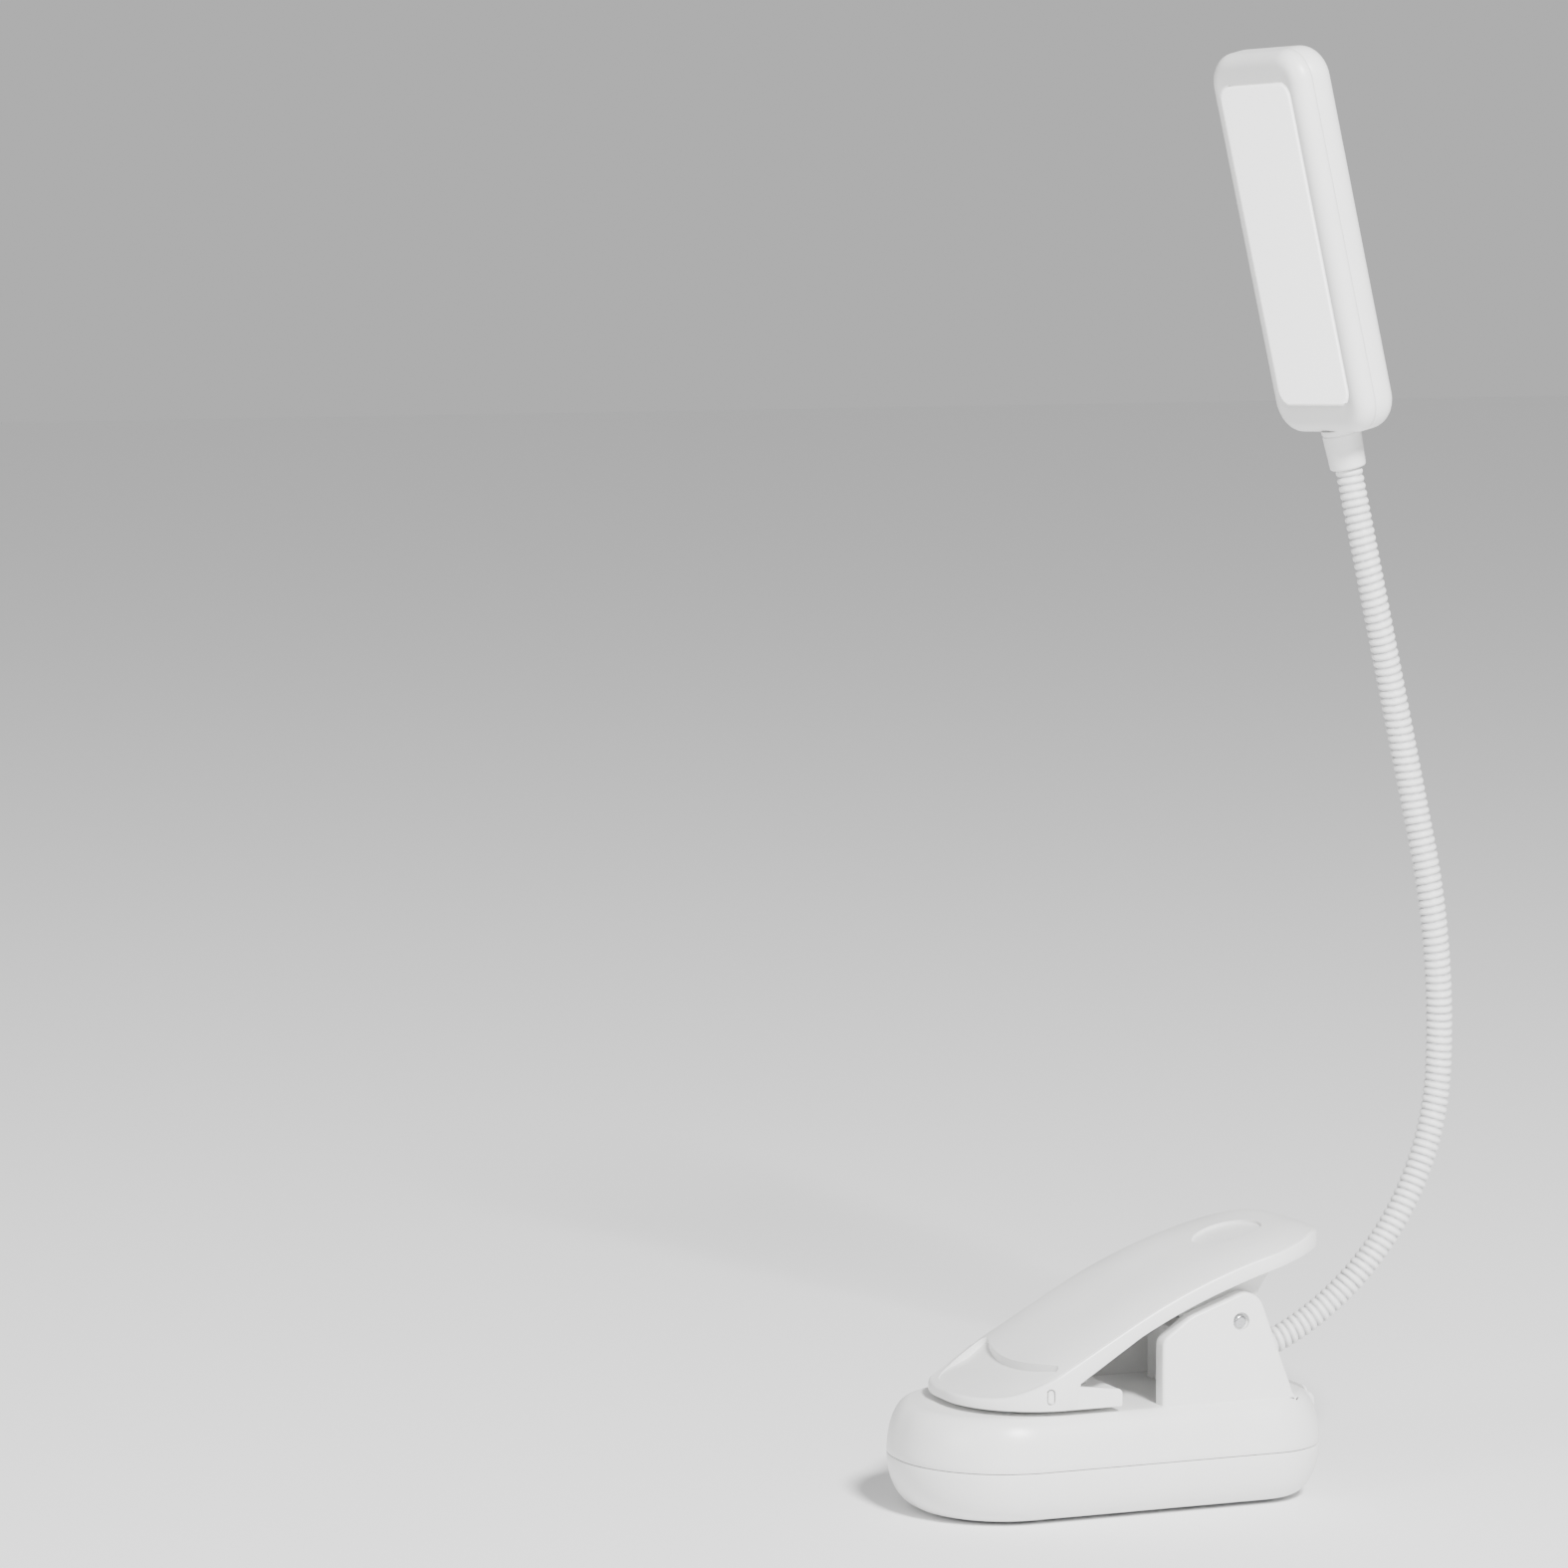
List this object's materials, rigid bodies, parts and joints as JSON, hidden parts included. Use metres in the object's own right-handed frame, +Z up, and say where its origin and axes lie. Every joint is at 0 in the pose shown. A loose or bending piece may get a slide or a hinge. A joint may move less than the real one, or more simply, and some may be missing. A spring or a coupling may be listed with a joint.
{
  "type": "clip on reading lamp",
  "caption": "Rechargeable reading lamp with a pebble-shaped clip base, a sprung clamping lever with a touch spot, a bendable neck and a flat rectangular light head.",
  "frame": {"origin": "centre of the base's underside, on the surface that the lamp stands on", "axes": "+Z up; -Y towards the clip's nose, where the light shines; +Y towards the charging port and the neck's root; X across the base"},
  "size_m": [0.038, 0.1012, 0.2389],
  "materials": {
    "white_shell": "satin white moulded ABS",
    "coated_neck": "white sleeve over a wound steel gooseneck",
    "soft_rubber": "matt grey silicone",
    "steel": "bright drawn steel",
    "black_plastic": "black",
    "battery_foil": "satin laminate foil",
    "lead_insulation": "red and black insulation",
    "circuit_board": "solder mask",
    "white_board": "white solder mask",
    "copper_foil": "copper foil",
    "led_phosphor": "phosphor",
    "diffuser": "frosted white"
  },
  "bodies": {
    "base": {"base_lower_shell": "white_shell", "base_upper_shell": "white_shell", "grip_sheet": "soft_rubber", "shell_screws": "steel", "usb_shell": "steel", "usb_tongue": "black_plastic", "port_trim_ring": "white_shell", "battery_cell": "battery_foil", "battery_leads": "lead_insulation", "main_board": "circuit_board", "board_components": "black_plastic", "neck_block": "white_shell", "block_screws": "steel", "neck_anchor": "coated_neck", "hinge_pin": "steel", "torsion_spring_coil": "steel", "base_jaw_pad": "soft_rubber"},
    "lever": {"lever_shell": "white_shell", "jaw_plate": "white_shell", "jaw_pad": "soft_rubber", "jaw_screws": "steel", "touch_electrode": "copper_foil", "torsion_spring_leg": "steel"},
    "neck_01": {"neck_link_01": "coated_neck"},
    "neck_02": {"neck_link_02": "coated_neck"},
    "neck_03": {"neck_link_03": "coated_neck"},
    "neck_04": {"neck_link_04": "coated_neck"},
    "neck_05": {"neck_link_05": "coated_neck"},
    "neck_06": {"neck_link_06": "coated_neck"},
    "neck_07": {"neck_link_07": "coated_neck"},
    "neck_08": {"neck_link_08": "coated_neck"},
    "neck_09": {"neck_link_09": "coated_neck"},
    "neck_10": {"neck_link_10": "coated_neck", "neck_collar": "white_shell", "neck_end_nut": "steel", "head_rear_shell": "white_shell", "head_front_frame": "white_shell", "diffuser_panel": "diffuser", "reflector_frame": "white_shell", "led_board": "white_board", "led_chips": "led_phosphor", "head_leads": "lead_insulation"}
  },
  "joints": [
    {"name": "clip_lever", "type": "hinge", "parent": "base", "child": "lever", "pos_m": [0, 0.0186, 0.0308], "axis": [-1, 0, 0], "range_deg": [0, 20], "stiffness_Nm_per_rad": 0.05, "springref_deg": -57.3},
    {"name": "lower_neck_bend", "type": "hinge", "parent": "base", "child": "neck_01", "pos_m": [0, 0.0256, 0.0215], "axis": [1, 0, 0], "range_deg": [-6, 6]},
    {"name": "lower_neck_bend_2", "type": "hinge", "parent": "neck_01", "child": "neck_02", "pos_m": [0, 0.04012, 0.02807], "axis": [1, 0, 0], "range_deg": [-6, 6]},
    {"name": "neck_side_lean_2", "type": "hinge", "parent": "neck_02", "child": "neck_03", "pos_m": [0, 0.05187, 0.03884], "axis": [0, 0.7832, -0.6218], "range_deg": [-12, 12]},
    {"name": "lower_neck_bend_3", "type": "hinge", "parent": "neck_03", "child": "neck_04", "pos_m": [0, 0.0597, 0.05273], "axis": [1, 0, 0], "range_deg": [-6, 6]},
    {"name": "lower_neck_bend_4", "type": "hinge", "parent": "neck_04", "child": "neck_05", "pos_m": [0, 0.06281, 0.06836], "axis": [1, 0, 0], "range_deg": [-6, 6]},
    {"name": "neck_side_lean", "type": "hinge", "parent": "neck_05", "child": "neck_06", "pos_m": [0, 0.06227, 0.0879], "axis": [0, 0.9956, 0.0932], "range_deg": [-12, 12]},
    {"name": "upper_neck_bend", "type": "hinge", "parent": "neck_06", "child": "neck_07", "pos_m": [0, 0.05917, 0.10719], "axis": [1, 0, 0], "range_deg": [-12, 14]},
    {"name": "upper_neck_bend_2", "type": "hinge", "parent": "neck_07", "child": "neck_08", "pos_m": [0, 0.0556, 0.12279], "axis": [1, 0, 0], "range_deg": [-12, 14]},
    {"name": "neck_side_lean_3", "type": "hinge", "parent": "neck_08", "child": "neck_09", "pos_m": [0, 0.05203, 0.13838], "axis": [0, 0.9748, 0.2233], "range_deg": [-12, 12]},
    {"name": "upper_neck_bend_3", "type": "hinge", "parent": "neck_09", "child": "neck_10", "pos_m": [0, 0.04846, 0.15398], "axis": [1, 0, 0], "range_deg": [-12, 14]}
  ],
  "couplings": [
    {"joint": "lower_neck_bend_2", "follows": "lower_neck_bend", "ratio": 1},
    {"joint": "lower_neck_bend_3", "follows": "lower_neck_bend", "ratio": 1},
    {"joint": "lower_neck_bend_4", "follows": "lower_neck_bend", "ratio": 1},
    {"joint": "upper_neck_bend_2", "follows": "upper_neck_bend", "ratio": 1},
    {"joint": "upper_neck_bend_3", "follows": "upper_neck_bend", "ratio": 1},
    {"joint": "neck_side_lean_2", "follows": "neck_side_lean", "ratio": 1},
    {"joint": "neck_side_lean_3", "follows": "neck_side_lean", "ratio": 1}
  ]
}
